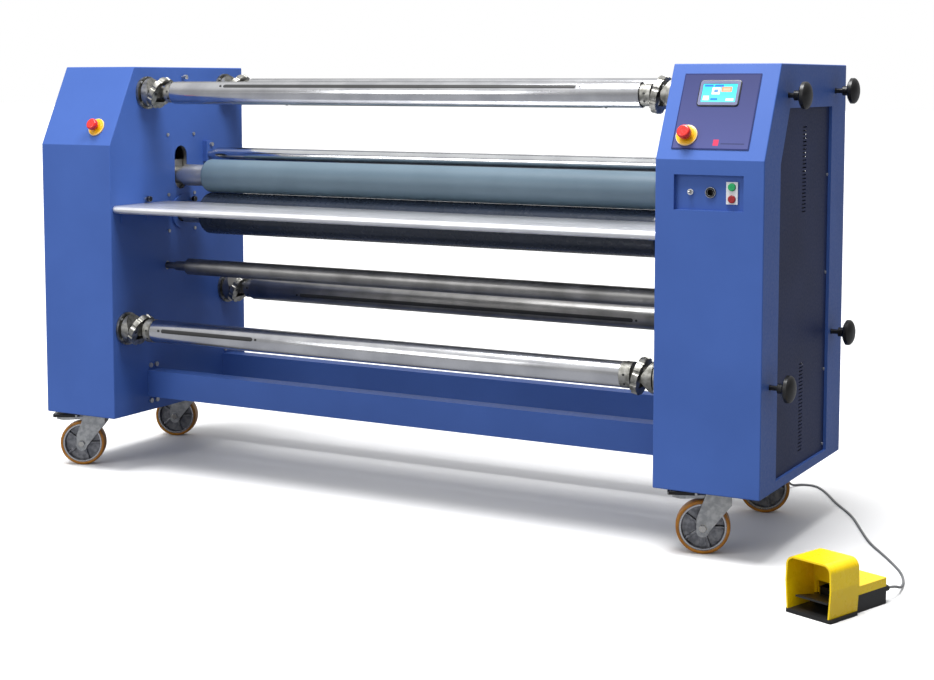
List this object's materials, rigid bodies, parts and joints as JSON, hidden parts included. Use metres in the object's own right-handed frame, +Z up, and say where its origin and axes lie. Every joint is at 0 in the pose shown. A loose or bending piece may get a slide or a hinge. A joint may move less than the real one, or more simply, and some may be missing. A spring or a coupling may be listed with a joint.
{
  "type": "cold roll laminator",
  "caption": "Wide-format cold roll laminator: two blue cabinets carry silicone pressure rollers, a feed table, idlers and core shafts on swivel casters, with a tethered foot switch.",
  "frame": {"origin": "on the floor, at the middle of the footprint of the two cabinets", "axes": "+X along the rollers towards the cabinet with the controls, +Y from the operator towards the back, +Z up"},
  "size_m": [2.5494, 1.1579, 1.178],
  "materials": {
    "black_phenolic": "moulded phenolic",
    "blue_paint": "satin powder coat",
    "button_green": "moulded",
    "button_red": "moulded",
    "cast_chuck": "satin steel",
    "caster_wheel": "die cast with polyurethane tyre",
    "chrome_tube": "chromed",
    "cord_sheath": "satin PVC sheath",
    "dark_anodised": "dark anodised",
    "dark_blue_paint": "satin powder coat",
    "gland_nylon": "nylon",
    "grey_enamel": "grey enamel",
    "machined_steel": "machined steel",
    "motor_grey": "painted casting",
    "nickel": "nickel plated",
    "pedal_black": "moulded",
    "pedal_yellow": "moulded",
    "printed_plate": "printed polycarbonate",
    "screen_housing": "moulded housing",
    "shaft_aluminium": "polished aluminium",
    "silicone_lower": "satin silicone",
    "silicone_upper": "satin silicone",
    "stop_red": "moulded",
    "switch_bodies": "moulded plastic",
    "table_aluminium": "satin anodised",
    "zinc_steel": "zinc-plated pressed steel"
  },
  "bodies": {
    "frame": {"left_cabinet": "blue_paint", "right_cabinet": "blue_paint", "side_plates": "machined_steel", "cover_panels": "dark_blue_paint", "cross_beams": "blue_paint", "control_plate": "printed_plate", "touch_screen": "screen_housing", "switch_bezels": "switch_bodies", "feed_table": "table_aluminium", "support_brackets": "blue_paint", "chuck_housings": "cast_chuck", "roller_supports": "machined_steel", "drive_motor": "motor_grey", "electrical_box": "grey_enamel", "brake_units": "grey_enamel", "caster_plates": "zinc_steel", "pedal_base": "pedal_black", "pedal_hood": "pedal_yellow", "pedal_cord": "cord_sheath", "cord_glands": "gland_nylon", "fasteners": "zinc_steel"},
    "roller_lift": {"lift_blocks": "machined_steel"},
    "upper_roller": {"upper_roller_core": "machined_steel", "upper_roller_sleeve": "silicone_upper"},
    "lower_roller": {"lower_roller_core": "machined_steel", "lower_roller_sleeve": "silicone_lower"},
    "upper_front_shaft": {"upper_front_shaft": "shaft_aluminium"},
    "upper_front_left_ring": {"upper_front_left_ring": "cast_chuck"},
    "upper_front_right_ring": {"upper_front_right_ring": "cast_chuck"},
    "upper_front_knob": {"upper_front_knob": "black_phenolic"},
    "upper_rear_shaft": {"upper_rear_shaft": "shaft_aluminium"},
    "upper_rear_left_ring": {"upper_rear_left_ring": "cast_chuck"},
    "upper_rear_right_ring": {"upper_rear_right_ring": "cast_chuck"},
    "upper_rear_knob": {"upper_rear_knob": "black_phenolic"},
    "lower_front_shaft": {"lower_front_shaft": "shaft_aluminium"},
    "lower_front_left_ring": {"lower_front_left_ring": "cast_chuck"},
    "lower_front_right_ring": {"lower_front_right_ring": "cast_chuck"},
    "lower_front_knob": {"lower_front_knob": "black_phenolic"},
    "lower_rear_shaft": {"lower_rear_shaft": "dark_anodised"},
    "lower_rear_left_ring": {"lower_rear_left_ring": "cast_chuck"},
    "lower_rear_right_ring": {"lower_rear_right_ring": "cast_chuck"},
    "lower_rear_knob": {"lower_rear_knob": "black_phenolic"},
    "upper_idler": {"upper_idler": "chrome_tube"},
    "lower_idler": {"lower_idler": "dark_anodised"},
    "left_stop_head": {"left_stop_head": "stop_red"},
    "right_stop_head": {"right_stop_head": "stop_red"},
    "toggle_lever": {"toggle_lever": "nickel"},
    "start_button": {"start_button": "button_green"},
    "halt_button": {"halt_button": "button_red"},
    "front_left_fork": {"front_left_fork": "zinc_steel"},
    "front_left_wheel": {"front_left_wheel": "caster_wheel"},
    "front_left_brake": {"front_left_brake": "zinc_steel"},
    "front_right_fork": {"front_right_fork": "zinc_steel"},
    "front_right_wheel": {"front_right_wheel": "caster_wheel"},
    "front_right_brake": {"front_right_brake": "zinc_steel"},
    "rear_left_fork": {"rear_left_fork": "zinc_steel"},
    "rear_left_wheel": {"rear_left_wheel": "caster_wheel"},
    "rear_right_fork": {"rear_right_fork": "zinc_steel"},
    "rear_right_wheel": {"rear_right_wheel": "caster_wheel"},
    "foot_treadle": {"foot_treadle": "pedal_black"}
  },
  "joints": [
    {"name": "roller_lift", "type": "slide", "parent": "frame", "child": "roller_lift", "axis": [0, 0, 1], "range_m": [0, 0.055]},
    {"name": "upper_roller_spin", "type": "hinge", "parent": "roller_lift", "child": "upper_roller", "pos_m": [0, 0.006, 0.856], "axis": [1, 0, 0], "continuous": true},
    {"name": "lower_roller_spin", "type": "hinge", "parent": "frame", "child": "lower_roller", "pos_m": [0, 0.006, 0.7451], "axis": [1, 0, 0], "continuous": true},
    {"name": "upper_front_shaft_spin", "type": "hinge", "parent": "frame", "child": "upper_front_shaft", "pos_m": [0, -0.148, 1.103], "axis": [1, 0, 0], "continuous": true},
    {"name": "upper_front_left_ring_fold", "type": "hinge", "parent": "upper_front_shaft", "child": "upper_front_left_ring", "pos_m": [-0.787, -0.148, 1.103], "axis": [0, 1, 0], "range_deg": [-28, 2]},
    {"name": "upper_front_right_ring_fold", "type": "hinge", "parent": "upper_front_shaft", "child": "upper_front_right_ring", "pos_m": [0.775, -0.148, 1.103], "axis": [0, 1, 0], "range_deg": [-14, 2]},
    {"name": "upper_front_knob_turn", "type": "hinge", "parent": "frame", "child": "upper_front_knob", "pos_m": [1.12, -0.148, 1.103], "axis": [1, 0, 0], "range_deg": [-540, 540]},
    {"name": "upper_rear_shaft_spin", "type": "hinge", "parent": "frame", "child": "upper_rear_shaft", "pos_m": [0, 0.222, 1.112], "axis": [1, 0, 0], "continuous": true},
    {"name": "upper_rear_left_ring_fold", "type": "hinge", "parent": "upper_rear_shaft", "child": "upper_rear_left_ring", "pos_m": [-0.787, 0.222, 1.112], "axis": [0, 1, 0], "range_deg": [-28, 2]},
    {"name": "upper_rear_right_ring_fold", "type": "hinge", "parent": "upper_rear_shaft", "child": "upper_rear_right_ring", "pos_m": [0.775, 0.222, 1.112], "axis": [0, 1, 0], "range_deg": [-14, 2]},
    {"name": "upper_rear_knob_turn", "type": "hinge", "parent": "frame", "child": "upper_rear_knob", "pos_m": [1.12, 0.222, 1.112], "axis": [1, 0, 0], "range_deg": [-540, 540]},
    {"name": "lower_front_shaft_spin", "type": "hinge", "parent": "frame", "child": "lower_front_shaft", "pos_m": [0, -0.252, 0.422], "axis": [1, 0, 0], "continuous": true},
    {"name": "lower_front_left_ring_fold", "type": "hinge", "parent": "lower_front_shaft", "child": "lower_front_left_ring", "pos_m": [-0.787, -0.252, 0.422], "axis": [0, 1, 0], "range_deg": [-28, 2]},
    {"name": "lower_front_right_ring_fold", "type": "hinge", "parent": "lower_front_shaft", "child": "lower_front_right_ring", "pos_m": [0.775, -0.252, 0.422], "axis": [0, 1, 0], "range_deg": [-14, 2]},
    {"name": "lower_front_knob_turn", "type": "hinge", "parent": "frame", "child": "lower_front_knob", "pos_m": [1.12, -0.252, 0.422], "axis": [1, 0, 0], "range_deg": [-540, 540]},
    {"name": "lower_rear_shaft_spin", "type": "hinge", "parent": "frame", "child": "lower_rear_shaft", "pos_m": [0, 0.224, 0.493], "axis": [1, 0, 0], "continuous": true},
    {"name": "lower_rear_left_ring_fold", "type": "hinge", "parent": "lower_rear_shaft", "child": "lower_rear_left_ring", "pos_m": [-0.787, 0.224, 0.493], "axis": [0, 1, 0], "range_deg": [-28, 2]},
    {"name": "lower_rear_right_ring_fold", "type": "hinge", "parent": "lower_rear_shaft", "child": "lower_rear_right_ring", "pos_m": [0.775, 0.224, 0.493], "axis": [0, 1, 0], "range_deg": [-14, 2]},
    {"name": "lower_rear_knob_turn", "type": "hinge", "parent": "frame", "child": "lower_rear_knob", "pos_m": [1.12, 0.224, 0.493], "axis": [1, 0, 0], "range_deg": [-540, 540]},
    {"name": "upper_idler_spin", "type": "hinge", "parent": "frame", "child": "upper_idler", "pos_m": [0, 0.126, 0.914], "axis": [1, 0, 0], "continuous": true},
    {"name": "lower_idler_spin", "type": "hinge", "parent": "frame", "child": "lower_idler", "pos_m": [0, -0.062, 0.5885], "axis": [1, 0, 0], "continuous": true},
    {"name": "left_stop_head_press", "type": "slide", "parent": "frame", "child": "left_stop_head", "axis": [0, 0.896, -0.444], "range_m": [0, 0.004]},
    {"name": "right_stop_head_press", "type": "slide", "parent": "frame", "child": "right_stop_head", "axis": [0, 0.896, -0.444], "range_m": [0, 0.004]},
    {"name": "toggle_tilt", "type": "hinge", "parent": "frame", "child": "toggle_lever", "pos_m": [0.916, -0.298, 0.878], "axis": [1, 0, 0], "range_deg": [-12, 12]},
    {"name": "start_button_press", "type": "slide", "parent": "frame", "child": "start_button", "axis": [0, 1, 0], "range_m": [0, 0.003], "stiffness_N_per_m": 600, "springref_m": -0.001},
    {"name": "halt_button_press", "type": "slide", "parent": "frame", "child": "halt_button", "axis": [0, 1, 0], "range_m": [0, 0.003], "stiffness_N_per_m": 600, "springref_m": -0.001},
    {"name": "front_left_swivel", "type": "hinge", "parent": "frame", "child": "front_left_fork", "pos_m": [-0.995, -0.22, 0.15], "axis": [0, 0, 1], "continuous": true},
    {"name": "front_left_roll", "type": "hinge", "parent": "front_left_fork", "child": "front_left_wheel", "pos_m": [-1.02791, -0.239, 0.066], "axis": [0.5, -0.866, 0], "continuous": true},
    {"name": "front_left_brake_press", "type": "hinge", "parent": "front_left_fork", "child": "front_left_brake", "pos_m": [-1.01925, -0.234, 0.14], "axis": [0.5, -0.866, 0], "range_deg": [0, 8]},
    {"name": "front_right_swivel", "type": "hinge", "parent": "frame", "child": "front_right_fork", "pos_m": [0.966, -0.218, 0.15], "axis": [0, 0, 1], "continuous": true},
    {"name": "front_right_roll", "type": "hinge", "parent": "front_right_fork", "child": "front_right_wheel", "pos_m": [0.93029, -0.231, 0.066], "axis": [0.342, -0.9397, 0], "continuous": true},
    {"name": "front_right_brake_press", "type": "hinge", "parent": "front_right_fork", "child": "front_right_brake", "pos_m": [0.93969, -0.22758, 0.14], "axis": [0.342, -0.9397, 0], "range_deg": [0, 8]},
    {"name": "rear_left_swivel", "type": "hinge", "parent": "frame", "child": "rear_left_fork", "pos_m": [-1.012, 0.236, 0.15], "axis": [0, 0, 1], "continuous": true},
    {"name": "rear_left_roll", "type": "hinge", "parent": "rear_left_fork", "child": "rear_left_wheel", "pos_m": [-1.04644, 0.21994, 0.066], "axis": [0.4226, -0.9063, 0], "continuous": true},
    {"name": "rear_right_swivel", "type": "hinge", "parent": "frame", "child": "rear_right_fork", "pos_m": [0.966, 0.228, 0.15], "axis": [0, 0, 1], "continuous": true},
    {"name": "rear_right_roll", "type": "hinge", "parent": "rear_right_fork", "child": "rear_right_wheel", "pos_m": [0.93029, 0.215, 0.066], "axis": [0.342, -0.9397, 0], "continuous": true},
    {"name": "treadle_press", "type": "hinge", "parent": "frame", "child": "foot_treadle", "pos_m": [1.33734, -0.50991, 0.022], "axis": [0.9397, -0.342, 0], "range_deg": [0, 8], "stiffness_Nm_per_rad": 2, "springref_deg": -5.73}
  ],
  "couplings": [
    {"joint": "upper_roller_spin", "follows": "lower_roller_spin", "ratio": -1.2551}
  ]
}
